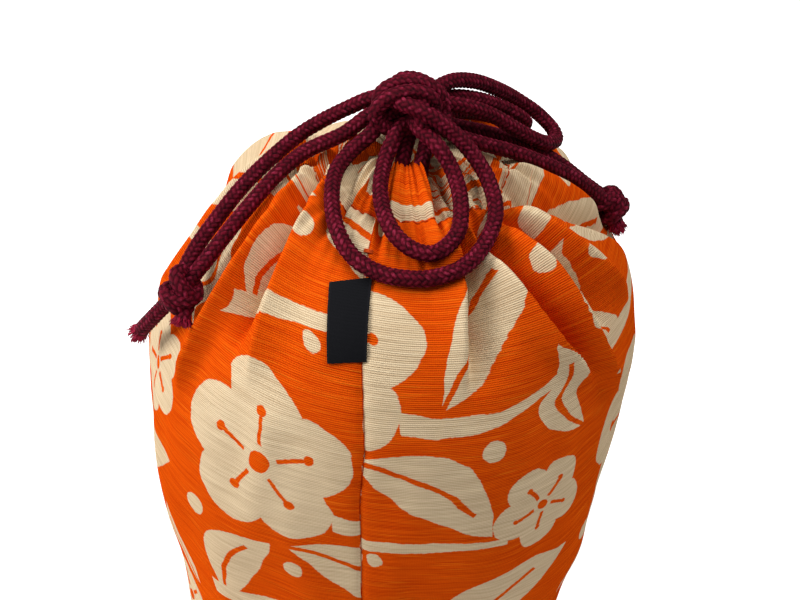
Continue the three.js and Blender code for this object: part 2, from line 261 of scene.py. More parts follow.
def braided_tube(name, line, around=40):
    """A tube of braid along a line, in millimetres."""
    ahead, side, up = frames_along(line)
    steps = np.linalg.norm(np.diff(line, axis=0), axis=1)
    along = np.concatenate([[0], np.cumsum(steps)])
    turn = np.arange(around) / around
    height, across, tone = braid_height(turn[None, :], along[:, None])
    radius = cord_diameter / 2 - 0.38 + braid_lift * height
    angle = 2 * np.pi * turn
    out = side[:, None, :] * np.cos(angle)[None, :, None] + up[:, None, :] * np.sin(angle)[None, :, None]
    points = (line[:, None, :] + out * radius[:, :, None]).reshape(-1, 3)
    faces = []
    for ring in range(len(line) - 1):
        for i in range(around):
            a = ring * around + i
            b = ring * around + (i + 1) % around
            faces.append((a, b, b + around, a + around))
    faces.append(tuple(range(around - 1, -1, -1)))
    faces.append(tuple((len(line) - 1) * around + i for i in range(around)))
    piece = make_piece(name, points, faces)
    add_values(piece, "braid_height", height)
    add_values(piece, "yarn_across", across)
    add_values(piece, "yarn_tone", tone)
    return piece


# %% Make the four strands
cord_step = 0.4
strands = {}
strand_lines = {}
for name, route in strand_routes.items():
    line, length = smooth_line(route, cord_step)
    strands[name] = braided_tube(name, line)
    strand_lines[name] = (line, length)
    print(name, "is", round(length), "mm long,", len(strands[name].data.polygons), "faces")


# %% [markdown]
# ## The knots
# In the bow, the cord passes four times round the crossing strands. Three turns lie side by side,
# and the fourth leans across them on the right. The lines of all turns are kept, because the cloth
# has to give way under the knots too. An end knot is two strands tied as one, so it shows
# short turns that lean both ways. Each turn is a closed oval of braid round the strands.

# %% Turns of cord round an axis
def turn_line(centre, axis, across, radii):
    """An oval ring with its middle at centre, square to axis, longest along across."""
    axis = np.array(axis, dtype=float)
    axis /= np.linalg.norm(axis)
    long_side = np.array(across, dtype=float)
    long_side -= axis * long_side.dot(axis)
    long_side /= np.linalg.norm(long_side)
    short_side = np.cross(axis, long_side)
    angle = np.linspace(0, 2 * np.pi, 100)[:, None]
    return np.array(centre) + long_side * radii[0] * np.cos(angle) + short_side * radii[1] * np.sin(angle)


knot_lines = []


def knot_of_turns(name, turns):
    knot_lines.extend(turns)
    parts = [braided_tube(f"{name}_{i}", turn) for i, turn in enumerate(turns)]
    bpy.ops.object.select_all(action="DESELECT")
    for part in parts:
        part.select_set(True)
    bpy.context.view_layer.objects.active = parts[0]
    bpy.ops.object.join()
    parts[0].name = name
    parts[0].data.name = name
    return parts[0]


bow_centre = np.array([0.0, -1.0, 261.5])
bow_turns = [
    turn_line(bow_centre + np.array(shift), axis, across, radii)
    for shift, axis, across, radii in (
        ((-1.0, -3.6, 0.2), (0.30, -1.0, 0.10), (1.0, 0.3, 0.25), (10.2, 6.6)),
        ((-0.5, 1.8, 1.4), (0.15, -1.0, 0.25), (1.0, 0.15, 0.1), (10.4, 6.4)),
        ((2.5, 6.4, 0.2), (-0.25, -1.0, 0.1), (1.0, -0.2, -0.25), (9.6, 6.2)),
        ((8.2, -1.0, -0.6), (0.75, -0.35, 0.55), (0.4, 0.9, 0.0), (6.4, 5.2)),
    )
]
bow_knot = knot_of_turns("bow_turns", bow_turns)


def end_knot(name, centre, tail_direction):
    tail = np.array(tail_direction, dtype=float)
    tail /= np.linalg.norm(tail)
    side = np.cross(tail, [0.3, -0.5, 0.8])
    side /= np.linalg.norm(side)
    third = np.cross(tail, side)
    turns = []
    for shift, lean, radii in ((-3.2, 0.45, (4.8, 4.0)), (0.8, -0.5, (5.2, 4.3)), (3.4, 0.25, (4.4, 3.8))):
        axis = tail + side * lean + third * 0.2
        turns.append(turn_line(np.array(centre) + tail * shift, axis, side, radii))
    return knot_of_turns(name, turns)


left_knot = end_knot("left_knot_turns", [-66.7, -54.4, 208.8], [-0.45, -0.3, -0.84])
right_knot = end_knot("right_knot_turns", [75.6, 34.4, 211.2], [0.75, 0.1, -0.65])
print("knots:", [len(k.data.polygons) for k in (bow_knot, left_knot, right_knot)], "faces")


# %% [markdown]
# ## Frayed ends
# The cord was cut, and its yarns have opened at the ends: a short brush of loose fibres that fans
# out. Each fibre is a thin tapered tube, bent at random but from a fixed seed.

# %% Brush of fibres
def frayed_end(name, line, seed, fibres=260, reach=4.6, flare=0.5):
    chance = np.random.default_rng(seed)
    tip = line[-1]
    ahead, side, up = (axis[-1] for axis in frames_along(line))
    points, faces, tones = [], [], []
    for _ in range(fibres):
        spot = np.sqrt(chance.random()) * cord_diameter * 0.47
        angle = chance.random() * 2 * np.pi
        outward = side * np.cos(angle) + up * np.sin(angle)
        start = tip + outward * spot - ahead * 1.5
        drift = outward * flare * spot * 0.5 + chance.normal(0, 0.12, 3)
        length = 1.5 + reach * (0.62 + 0.38 * chance.random()) * (1 - 0.05 * spot ** 2)
        width = 0.24 + 0.12 * chance.random()
        bend = chance.normal(0, 0.3, 3)
        tone = 1.0 + 0.5 * chance.random()
        first = len(points)
        for share in (0.0, 0.35, 0.7, 1.0):
            centre = start + ahead * length * share + drift * share ** 1.4 * 2.2 + bend * share ** 2
            for corner in range(3):
                a = 2 * np.pi * corner / 3
                points.append(centre + (side * np.cos(a) + up * np.sin(a)) * width * (1 - 0.5 * share))
                tones.append(tone)
        for level in range(3):
            for corner in range(3):
                a = first + level * 3 + corner
                b = first + level * 3 + (corner + 1) % 3
                faces.append((a, b, b + 3, a + 3))
        faces.append((first + 2, first + 1, first))
        faces.append((first + 9, first + 10, first + 11))
    piece = make_piece(name, points, faces)
    add_values(piece, "braid_height", tones)
    add_values(piece, "yarn_across", np.zeros(len(points)))
    add_values(piece, "yarn_tone", np.full(len(points), 0.9))
    return piece


tufts = {
    strand: frayed_end(name, strand_lines[strand][0], seed, reach=reach)
    for strand, name, seed, reach in (
        ("front_strand_outer", "left_tuft_short", 3, 1.6),
        ("front_strand_inner", "left_tuft", 5, 4.6),
        ("back_strand_outer", "right_tuft", 7, 2.2),
        ("back_strand_inner", "right_tuft_short", 9, 2.8),
    )
}


# %% [markdown]
# ## The gathered sack
# The sack is a sewn tube of cloth 613 mm round, drawn in to a ring that is only 100 mm round. All
# the spare cloth goes into pleats: round lobes with sharp valleys between them, deep at the ring
# and fading out towards the shoulder at different distances. Five flat plates or a smooth lathe
# would miss this. The sack is lofted: rings of points from the middle of the base up to the
# mouth, lowered along every valley. A short cloth simulation lets it settle, and last of all the
# cords press into it.

# %% The smooth shape under the pleats
mouth_climb = math.acos(mouth_radius / half_width)
dome_climbs = np.linspace(0, mouth_climb, 400)
dome_arc = np.concatenate([[0], np.cumsum(np.hypot(
    np.diff(half_width * np.cos(dome_climbs)), np.diff(dome_height * np.sin(dome_climbs))))])
dome_length = dome_arc[-1]
cloth_girth = 2 * np.pi * half_width
base_inset = 17.0
base_edge = 13.0
dome_lean = 4.0
print("dome is", round(dome_length), "mm along the cloth, girth", round(cloth_girth), "mm")


def wall_half_width(height):
    return half_width - base_inset * (1 + np.cos(np.pi * np.clip(height / shoulder_height, 0, 1))) / 2


def roundness(angle, height):
    power = 2 + 0.5 * max(0.0, 1 - height / shoulder_height)
    across = np.abs(np.cos(angle)) ** power + np.abs(np.sin(angle)) ** power
    return across ** (-1 / power)


def smooth_step(value):
    t = np.clip(value, 0, 1)
    return t * t * (3 - 2 * t)


# %% [markdown]
# A fold is a line on the dome with a height: above zero it is a ridge, below zero a valley. Cloth
# under tension has a crisp crest and hollow flanks, so the profile across a fold is a cusp. Each
# side has its own width, which makes some folds lean over. The front folds follow the photo, and a
# seeded draw places the rest. Short pleats near the mouth take up most of the spare cloth.

# %% Folds of the dome
# Each is: points of its line as (mm from the mouth, degrees to the right of the front), height,
# width of its left flank, width of its right flank, and how round its crest is, all in mm.
front_folds = {
    "left valley": (
        [(3, -96), (8, -88), (16, -62), (26, -50), (38, -44), (52, -39), (75, -36), (92, -34)],
        -12.5, 9, 4.5, 0.5),
    "left crest": (
        [(10, -64), (22, -46), (34, -38), (47, -34), (60, -31.5), (73, -29.5), (98, -27)],
        5.0, 4.5, 12, 0.4),
    "outer left crest": (
        [(18, -67), (31, -54), (42, -49), (55, -46), (69, -45), (96, -45), (122, -46)],
        7.0, 12, 7, 0.35),
    "outer left valley": (
        [(14, -95), (23, -76), (34, -62), (45, -55), (60, -50.5), (76, -49.5), (95, -50)],
        -9.5, 6, 4, 0.6),
    "far left valley": ([(10, -118), (25, -98), (40, -82), (60, -72), (90, -66)], -10.5, 9, 6, 0.8),
    "far left crest": ([(20, -108), (40, -90), (62, -79), (90, -74), (118, -73)], 6.0, 10, 9, 0.9),
    "inner left pleat": ([(0, -52), (14, -36), (28, -26), (44, -22)], -4.0, 5, 4, 0.8),
    "first right pleat": ([(0, 37), (5, 32), (13, 29), (21, 25), (36, 23)], -7.0, 2.2, 6, 0.3),
    "second right pleat": ([(0, 50), (9, 41), (19, 36), (32, 33)], -5.5, 3.5, 4, 0.4),
    "overlap": (
        [(22, 33), (37, 29.3), (44, 27.7), (53, 25.6), (62, 24.1), (70, 23.6), (88, 22.6)],
        -12.5, 1.2, 17, 0.3),
    "overlap edge": (
        [(24, 30), (37, 27.3), (44, 25.7), (53, 23.6), (62, 22.2), (70, 21.6), (88, 20.6)],
        2.8, 15, 1.8, 0.4),
    "right crest": (
        [(18, 36), (28, 37), (38, 38), (50, 40), (61, 43), (74, 47.5), (84, 53), (104, 60)],
        7.0, 11, 6, 0.2),
    "right valley": (
        [(20, 45), (29, 44.3), (40, 44), (51, 45.5), (65, 48.6), (77, 52.6), (96, 59)],
        -7.5, 6, 6, 0.6),
    "second right crest": (
        [(18, 50), (28, 50.7), (37, 53), (49, 54.3), (62, 56), (76, 58.4), (94, 62.6), (118, 70)],
        8.5, 8, 9, 0.2),
    "second right valley": (
        [(18, 55), (28, 54.5), (36, 57), (45, 60), (58, 64), (70, 67), (88, 71)],
        -10.0, 8, 9, 0.7),
    "third right crest": ([(22, 54), (34, 64), (46, 69), (59, 73.5), (75, 79), (92, 84)], 6.5, 9, 14, 0.6),
    "far right valley": (
        [(12, 62), (21, 71), (29, 79), (40, 88), (56, 98), (71, 106), (92, 114)],
        -11.0, 12, 12, 1.4),
    "far right crest": ([(12, 76), (18, 88), (28, 102), (42, 112), (56, 119), (76, 126)], 4.0, 12, 14, 1.6),
    "shoulder crest": ([(96, -22), (120, -18), (135, -14)], 1.2, 14, 12, 1.5),
    "low right drag": ([(84, 40), (110, 44), (140, 46)], -1.6, 16, 9, 2.0),
}
fade_in, fade_out = 10.0, 24.0

chance = np.random.default_rng(41)
back_folds = []
for index in range(13):
    start = 134 + 104 * (index + 0.5) / 13 + chance.normal(0, 1.5)
    swing = chance.normal(0, 12)
    reach = 60 + 50 * chance.random()
    valley = index % 2 == 0
    line = [(12, start), (35, start + swing * 0.5)]
    line += [(reach * 0.7, start + swing * 0.8), (reach, start + swing)]
    back_folds.append((line, (-10.0 if valley else 5.5) * (0.75 + 0.5 * chance.random()),
                       6 + 5 * chance.random(), 6 + 5 * chance.random(), 0.5))
mouth_pleats = []
for index in range(30):
    start = -180 + 360 * (index + 0.5) / 30 + chance.normal(0, 2.2)
    end = start * 0.93 + chance.normal(0, 2.0)
    mouth_pleats.append(([(0, start), (18, (start + end) / 2), (24 + 26 * chance.random(), end)],
                         -(2.6 + 1.6 * chance.random()), 2.2 + 1.5 * chance.random(),
                         2.2 + 1.5 * chance.random(), 0.5))
folds = list(front_folds.values()) + back_folds
print(len(folds), "folds and", len(mouth_pleats), "short pleats")


def wrapped(angle):
    return (angle + np.pi) % (2 * np.pi) - np.pi


def fold_lift(angle, from_mouth, radius, chosen_folds, early=fade_in, late=fade_out):
    """How far the folds lift the cloth at these angles, at one distance from the mouth."""
    lift = np.zeros_like(angle)
    for line, height, left, right, crest in chosen_folds:
        first, last = line[0][0], line[-1][0]
        strength = smooth_step((from_mouth - first) / early + (1.0 if first <= 0 else 0.0))
        strength = strength * smooth_step((last - from_mouth) / late)
        if strength <= 0:
            continue
        here = np.interp(from_mouth, [point[0] for point in line], [point[1] for point in line])
        distance = wrapped(angle - np.radians(here)) * radius
        width = np.where(distance < 0, left, right)
        soft = np.sqrt(distance ** 2 + crest ** 2) - crest
        lift += height * strength * np.clip(1 - soft / width, 0, 1) ** 1.8
    return lift


# %% [markdown]
# The print has to follow the cloth, not the space it stands in. So every point also carries its
# place on the flat cloth: how far round, and how far up. Round the mouth there is far more cloth
# than the eye sees, and the hidden part is down in the valleys. The spare width is therefore
# given to the valleys, and a motif breaks off at a fold and goes on behind it, as in the photo.
# The first column of the loft follows the front seam, which wanders a little to the left.

# %% Loft the sack
columns = 480
mouth_rows, dome_rows, wall_rows, edge_rows, base_rows = 5, 84, 36, 5, 8
column_turn = 2 * np.pi * np.arange(columns) / columns
seam_line = [
    (0, -11.5), (15, -9.4), (37, -8.0), (49, -7.2), (74, -3.0), (90, -0.6), (105, 1.4), (135, 2.9),
    (200, 4.9),
]
slit_end = 37.0
rim_rise = 5.0


def seam_angle(from_mouth):
    return math.radians(np.interp(from_mouth, [p[0] for p in seam_line], [p[1] for p in seam_line]))


def seam_dip(turn, radius, from_mouth):
    """The groove of the two seams, with small puckers along it."""
    pucker = 1 + 0.35 * math.sin(from_mouth * 0.9) + 0.25 * math.sin(from_mouth * 0.53 + 1)
    return sum(1.25 * pucker * np.exp(-np.abs(wrapped(turn - side)) * radius / 1.7) for side in (0.0, np.pi))


# %% [markdown]
# Between the mouth and the shoulder the cloth is pulled taut, so it lies a little inside a full
# curve, and most of all on the flanks that the cords leave free.

# %% How far the taut cloth lies inside the full curve
# Each flank is: degrees from the front, mm from the mouth, depth, and its reach both ways.
taut_flanks = [(-90, 84, 6.5, 30, 32), (78, 98, 4.6, 32, 36), (-128, 45, 5.0, 24, 26)]


def taut_ease(from_front, from_mouth, rise):
    ease = 1.8 * math.sin(math.pi * min(rise * 1.5 + 0.25, 1))
    for side, middle, depth, wide, tall in taut_flanks:
        turn = wrapped(from_front - math.radians(side)) / math.radians(wide)
        ease = ease + depth * np.exp(-turn ** 2 - ((from_mouth - middle) / tall) ** 2)
    return ease


# %% One ring of the dome
def casing_lift(from_front, from_mouth, radius):
    """The cord fills the casing, and a stitch line below it draws the cloth in."""
    share = max(0.0, 1 - from_mouth / casing_height)
    tunnel = 1.7 * math.sin(math.pi * share) ** 0.8 if share > 0 else 0.0
    past_stitch = from_mouth - casing_height + 1
    puckers = 0.5 * np.sin(column_turn * 44 + 3 * np.sin(column_turn * 5)) * math.exp(-(past_stitch / 5) ** 2)
    edge = math.radians(np.interp(from_mouth, [4, 13, 22, 30], [74, 56, 50, 46]))
    scallops = 0.9 * math.sin(from_mouth * 2 * math.pi / 4.6)
    scallops = scallops * np.exp(-(wrapped(from_front - edge) * radius / 2.6) ** 2)
    scallops = scallops * smooth_step(from_mouth / 6) * smooth_step((32 - from_mouth) / 8)
    return tunnel - 1.2 * math.exp(-(past_stitch / 1.7) ** 2) + puckers + scallops


def slit_lift(radius, from_mouth):
    """The left edge of the front slit is tucked under the right one."""
    beside = wrapped(column_turn) * radius
    flap = np.where(beside < 0, -2.4 * np.exp(beside / 5.0), 0.5 * np.exp(-beside / 4.0))
    return flap * smooth_step((slit_end - from_mouth) / 10)


def loose_lift(angle, from_mouth, rise):
    """Broad uneven swells, and fine drawn creases that fade below the gathers."""
    swell = 1.0 * np.sin(angle * 3 + 1.0) * math.sin(math.pi * min(rise * 1.3, 1))
    swell = swell + 0.7 * np.sin(angle * 7 + 2.0) * math.sin(math.pi * min(rise * 1.6, 1))
    creases = sum(np.sin(column_turn * waves + phase + from_mouth * drift)
                  for waves, phase, drift in ((61, 0.3, 0.02), (47, 2.1, -0.03), (83, 4.0, 0.05)))
    return swell + 0.28 * creases * smooth_step((62 - from_mouth) / 40)


def dome_ring(from_mouth):
    climb = np.interp(dome_length - from_mouth, dome_arc, dome_climbs)
    rise = climb / mouth_climb
    radius = half_width * math.cos(climb)
    from_front = column_turn + seam_angle(from_mouth)
    angle = from_front - np.pi / 2
    deep = fold_lift(from_front, from_mouth, radius, folds)
    short = fold_lift(from_front, from_mouth, max(radius, mouth_radius), mouth_pleats)
    short = short * (0.6 + 0.4 * smooth_step((from_mouth - 8) / 14))
    lift = deep + short + casing_lift(from_front, from_mouth, radius) + slit_lift(radius, from_mouth)
    lift = lift + loose_lift(angle, from_mouth, rise) - taut_ease(from_front, from_mouth, rise)
    lift = lift - seam_dip(column_turn, radius, from_mouth) * smooth_step((from_mouth - slit_end) / 6)
    normal = np.stack([
        math.cos(climb) * np.cos(angle) / half_width,
        math.cos(climb) * np.sin(angle) / half_depth,
        np.full(columns, math.sin(climb) / dome_height),
    ], axis=1)
    normal /= np.linalg.norm(normal, axis=1)[:, None]
    lean = dome_lean * math.sin(math.pi * min(1.0, rise)) ** 1.2
    height = shoulder_height + dome_height * math.sin(climb)
    height += rim_rise * smooth_step(1 - from_mouth / 16) ** 1.5
    ring = np.stack([
        lean + radius * np.cos(angle),
        radius * half_depth / half_width * np.sin(angle),
        np.full(columns, height),
    ], axis=1) + normal * lift[:, None]
    return ring, np.clip(-(deep + short), 0, None)


# %% One ring of the wall or base
def wall_ring(height, inset):
    from_mouth = dome_length + shoulder_height - height
    from_front = column_turn + seam_angle(from_mouth)
    angle = from_front - np.pi / 2
    radius = (wall_half_width(height) - inset) * roundness(angle, height)
    if inset <= 0:
        share = height / shoulder_height
        wave = np.sin(angle * 4 + 0.6 + 1.5 * share) + 0.6 * np.sin(angle * 9 + 4 * share)
        radius = radius - seam_dip(column_turn, half_width, from_mouth)
        radius = radius - math.sin(math.pi * share) * (0.6 + wave * 1.1)
        radius = radius - taut_ease(from_front, from_mouth, 0.0) * smooth_step((height - 60) / 95)
    return np.stack([
        radius * np.cos(angle),
        radius * half_depth / half_width * np.sin(angle),
        np.full(columns, float(height)),
    ], axis=1)


# %% Stack the rings from the base to the mouth
rings, heights_on_cloth, hidden_cloth = [], [], []


def add_ring(ring, height_on_cloth, hidden=None):
    rings.append(ring)
    heights_on_cloth.append(height_on_cloth)
    hidden_cloth.append(np.zeros(columns) if hidden is None else hidden)


wall_length = shoulder_height - base_edge
edge_length = base_edge * np.pi / 2
base_radius = half_width - base_inset - base_edge
for i in range(1, base_rows + 1):
    share = i / base_rows
    add_ring(wall_ring(0.0, base_edge) * [share, share, 1], -edge_length - base_radius * (1 - share))
for i in range(1, edge_rows + 1):
    turn = np.pi / 2 * i / edge_rows
    ring = wall_ring(base_edge * (1 - math.cos(turn)), base_edge * (1 - math.sin(turn)))
    add_ring(ring, -edge_length * (1 - i / edge_rows))
for i in range(1, wall_rows + 1):
    add_ring(wall_ring(base_edge + wall_length * i / wall_rows, 0.0), wall_length * i / wall_rows)
for i in range(1, dome_rows + 1):
    from_mouth = dome_length * (1 - i / dome_rows) ** 1.2
    ring, hidden = dome_ring(from_mouth)
    add_ring(ring, wall_length + dome_length - from_mouth, hidden)
lip_ring, lip_hidden = dome_ring(0.0)
lip_middle = lip_ring.mean(axis=0)
for i in range(1, mouth_rows + 1):
    share = i / (mouth_rows + 0.4)
    ring = lip_middle + (lip_ring - lip_middle) * (1 - share)
    ring[:, 2] -= 7.0 * smooth_step(share)
    add_ring(ring, wall_length + dome_length + mouth_radius * share, lip_hidden)
rings = np.array(rings)
print("sack rings:", rings.shape)


# %% Places on the flat cloth
def flat_width_places():
    """For every ring and column edge, how far round the flat cloth it is, from the front seam."""
    places = np.zeros((len(rings), columns + 1))
    for row, ring in enumerate(rings):
        step = np.linalg.norm(np.roll(ring, -1, axis=0) - ring, axis=1)
        spare = max(0.0, cloth_girth - step.sum())
        hidden = (hidden_cloth[row] + np.roll(hidden_cloth[row], -1)) / 2
        hidden = (hidden / 3) ** 4 + 0.05
        step = step + spare * hidden / hidden.sum()
        places[row, 1:] = np.cumsum(step) * cloth_girth / step.sum()
    return places


around_cloth = flat_width_places()

# %% Faces between rings
def shell_points(rings):
    """Every ring's points, then the middle of the base and the middle of the mouth."""
    return np.vstack([rings.reshape(-1, 3), rings[0].mean(axis=0), rings[-1].mean(axis=0)])


def shell_faces(ring_count, around):
    faces = []
    for row in range(ring_count - 1):
        for i in range(around):
            a = row * around + i
            b = row * around + (i + 1) % around
            faces.append((a, b, b + around, a + around))
    base_middle, mouth_middle = ring_count * around, ring_count * around + 1
    last = (ring_count - 1) * around
    for i in range(around):
        j = (i + 1) % around
        faces.append((base_middle, j, i))
        faces.append((mouth_middle, last + i, last + j))
    return faces


# %% [markdown]
# ## Letting the cloth settle
# Placed folds look carved. A few frames of cloth simulation let the sack find its own broad
# tensions: a little pressure stands for what fills it, and the cloth is a touch larger than its
# shape. The simulation runs on a copy with half the columns, held at the base and the mouth. Its
# movement is softened and limited before it is used, so the crisp creases stay where they are.

# %% Settle a copy of the sack
settle_frames = 10
most_settle = 2.2


def softened(field, times):
    """Each value averaged with its neighbours, round the ring and up the sack."""
    for _ in range(times):
        field = (np.roll(field, 1, axis=1) + 2 * field + np.roll(field, -1, axis=1)) / 4
        field[1:-1] = (field[:-2] + 2 * field[1:-1] + field[2:]) / 4
    return field


def settling(rings):
    """How far each point moves when the cloth is let go."""
    ring_count, around = rings.shape[:2]
    copy = make_piece("settling_copy", shell_points(rings), shell_faces(ring_count, around))
    held = copy.vertex_groups.new(name="held")
    row = np.arange(len(copy.data.vertices)) // around
    fixed = (row < base_rows + edge_rows) | (row >= ring_count - mouth_rows - 3)
    held.add(np.nonzero(fixed)[0].tolist(), 1.0, "REPLACE")
    cloth = copy.modifiers.new("settle", "CLOTH")
    cloth.settings.quality = 6
    cloth.settings.mass = 0.25
    cloth.settings.tension_stiffness = 25
    cloth.settings.compression_stiffness = 12
    cloth.settings.shear_stiffness = 8
    cloth.settings.bending_stiffness = 0.6
    cloth.settings.air_damping = 2.0
    cloth.settings.vertex_group_mass = "held"
    cloth.settings.use_pressure = True
    cloth.settings.uniform_pressure_force = 2.0
    cloth.settings.shrink_min = -0.03
    cloth.settings.effector_weights.gravity = 0.0
    cloth.collision_settings.use_collision = False
    cloth.point_cache.frame_start = 1
    cloth.point_cache.frame_end = settle_frames
    for frame_number in range(1, settle_frames + 1):
        bpy.context.scene.frame_set(frame_number)
    loose = copy.evaluated_get(bpy.context.evaluated_depsgraph_get())
    after = np.array([v.co for v in loose.data.vertices]) / MM
    bpy.context.scene.frame_set(1)
    bpy.data.objects.remove(copy)
    return after[:-2].reshape(rings.shape) - rings


moved = softened(settling(rings[:, ::2]), 3)
distance = np.linalg.norm(moved, axis=2, keepdims=True)
moved *= most_settle * np.tanh(distance / most_settle) / np.maximum(distance, 1e-9)
rings[:, ::2] += moved
rings[:, 1::2] += (moved + np.roll(moved, -1, axis=1)) / 2
print("settled: mean", round(distance.mean(), 2), "mm, most", round(distance.max(), 2), "mm")

# %% [markdown]
# ## The cords lie on the cloth
# A cord drawn tight over soft cloth makes a groove in it. Cloth that stands higher than the
# underside of a cord is pushed in to just below it, and rises again in a hollow curve on both
# sides. The first stretch of each strand comes out of the mouth, so it presses on nothing.

# %% Press the cloth in under the cords
press_gap = 0.5
groove_round = 4.2
press_reach = 9.0
highest_pressed = 14.0
level_margin = 16.0
out_of_mouth = 14.0


def outward_of(ring):
    """The direction away from the smooth shape under the folds, at each point of a ring."""
    above = np.clip(ring[:, 2] - shoulder_height, 0, None)
    outward = np.stack([
        ring[:, 0] / half_width ** 2, ring[:, 1] / half_depth ** 2, above / dome_height ** 2,
    ], axis=1)
    return outward / np.linalg.norm(outward, axis=1)[:, None]


def push_under(ring, outward, cord_points):
    """How far each point of a ring stands above the groove of the cords near it."""
    offset = ring[:, None, :] - cord_points[None, :, :]
    above = (offset * outward[:, None, :]).sum(axis=2)
    beside = np.sqrt(np.clip((offset ** 2).sum(axis=2) - above ** 2, 0, None))
    groove = -(cord_diameter / 2 + press_gap) + beside ** 2 / (2 * groove_round)
    near = (beside < press_reach) & (above < highest_pressed)
    return np.clip(np.where(near, above - groove, 0).max(axis=1), 0, None)


skipped = int(out_of_mouth / cord_step)
cord_points = np.vstack([line[skipped::2] for line, _ in strand_lines.values()]
                        + [turn[::2] for turn in knot_lines])
push = np.zeros(rings.shape[:2])
outwards = np.zeros_like(rings)
for row in range(base_rows + edge_rows, len(rings) - mouth_rows):
    outwards[row] = outward_of(rings[row])
    lowest, highest = rings[row, :, 2].min(), rings[row, :, 2].max()
    level = (cord_points[:, 2] > lowest - level_margin) & (cord_points[:, 2] < highest + level_margin)
    if level.any():
        push[row] = push_under(rings[row], outwards[row], cord_points[level])
push = np.maximum(push, softened(push, 2))
rings = rings - outwards * push[:, :, None]
print("pressed in: most", round(push.max(), 2), "mm, at", int((push > 0.1).sum()), "points")

# %% Make the sack's mesh
sack = make_piece("cotton_sack", shell_points(rings), shell_faces(len(rings), columns))
corner_places = []
for row in range(len(rings) - 1):
    low, high = heights_on_cloth[row], heights_on_cloth[row + 1]
    for i in range(columns):
        corner_places += [
            (around_cloth[row, i], low), (around_cloth[row, i + 1], low),
            (around_cloth[row + 1, i + 1], high), (around_cloth[row + 1, i], high),
        ]
base_level = heights_on_cloth[0] - base_radius / base_rows
mouth_level = heights_on_cloth[-1] + 2
for i in range(columns):
    corner_places += [(around_cloth[0, i], base_level), (around_cloth[0, i + 1], heights_on_cloth[0])]
    corner_places += [(around_cloth[0, i], heights_on_cloth[0])]
    corner_places += [(around_cloth[-1, i], mouth_level), (around_cloth[-1, i], heights_on_cloth[-1])]
    corner_places += [(around_cloth[-1, i + 1], heights_on_cloth[-1])]
flat_map = sack.data.uv_layers.new(name="flat_cloth")
flat_map.data.foreach_set("uv", (np.array(corner_places) * MM).ravel())
cloth_surface = BVHTree.FromObject(sack, bpy.context.evaluated_depsgraph_get())
print("sack:", len(sack.data.polygons), "faces")

# %% [markdown]
# ## The stitches
# A row of orange thread holds the casing down, and a bar tack closes the foot of the slit. The
# threads are short tubes that follow the finished cloth. Bump would lose them: they catch light.

# %% Threads on the cloth
def cloth_line(from_mouth):
    """The ring of cloth at this distance from the mouth."""
    row = np.interp(wall_length + dome_length - from_mouth, heights_on_cloth, np.arange(len(rings)))
    low = int(row)
    return rings[low] * (low + 1 - row) + rings[low + 1] * (row - low)


def thread_run(ring, start, length):
    """Seven points along a ring, from a place in millimetres after the front seam."""
    closed = np.vstack([ring, ring[:1]])
    along = np.concatenate([[0], np.cumsum(np.linalg.norm(np.diff(closed, axis=0), axis=1))])
    where = (start + np.linspace(0, length, 7)) % along[-1]
    run = np.stack([np.interp(where, along, closed[:, axis]) for axis in range(3)], axis=1)
    outward = run - [dome_lean, 0, ring[:, 2].mean() - 30]
    outward /= np.linalg.norm(outward, axis=1)[:, None]
    arch = np.sin(np.linspace(0, np.pi, 7))[:, None]
    return run + outward * (0.5 * arch + 0.05)


def thread_mesh(name, runs, radius=0.28, sides=6):
    points, faces = [], []
    for run in runs:
        ahead, side, up = frames_along(run)
        first = len(points)
        for place, across, over in zip(run, side, up):
            for corner in range(sides):
                a = 2 * np.pi * corner / sides
                points.append(place + (across * np.cos(a) + over * np.sin(a)) * radius)
        for level in range(len(run) - 1):
            for corner in range(sides):
                a = first + level * sides + corner
                b = first + level * sides + (corner + 1) % sides
                faces.append((a, b, b + sides, a + sides))
        faces.append(tuple(first + i for i in range(sides - 1, -1, -1)))
        faces.append(tuple(first + (len(run) - 1) * sides + i for i in range(sides)))
    return make_piece(name, points, faces)


stitch_length, stitch_gap = 2.7, 1.0
casing_ring = cloth_line(casing_height - 0.6)
casing_round = np.linalg.norm(np.roll(casing_ring, -1, axis=0) - casing_ring, axis=1).sum()
stitch_count = int(casing_round / (stitch_length + stitch_gap))
stitch_runs = [thread_run(casing_ring, casing_round * i / stitch_count, stitch_length)
               for i in range(stitch_count)]
stitch_runs += [thread_run(cloth_line(slit_end + 0.45 * i), -1.6, 3.2) for i in range(3)]
stitches = thread_mesh("casing_stitches", stitch_runs)
print("stitches:", stitch_count, "round the casing and a bar tack of 3")


# %% [markdown]
# ## The side label
# A folded ribbon tab is sewn into the front seam. It stands a little proud of the cloth and keeps
# its own stiffness, so it is a thin curved slab: its rows are straight and only its length bends
# with the sack. The points are found by casting rays from outside onto the finished cloth.

# %% Label
# The four corners, as (x, height) seen from the front. The seam holds the right edge.
label_top = ((-14.8, 225.8), (-1.3, 228.3))
label_foot = ((-11.0, 207.6), (1.5, 209.4))
label_width, label_length, label_thickness = 13.6, 26.5, 0.7
label_row_count = 26


def on_cloth(x, height):
    """The place on the front of the cloth at this x and height, found from outside."""
    found = cloth_surface.ray_cast(Vector((x, -140, height)) * MM, Vector((0, 1, 0)))
    return np.array(found[0]) / MM


edges = np.array([[on_cloth(*(np.array(top) * (1 - share) + np.array(foot) * share))
                   for top, foot in zip(label_top, label_foot)]
                  for share in np.linspace(0, 1, label_row_count)])
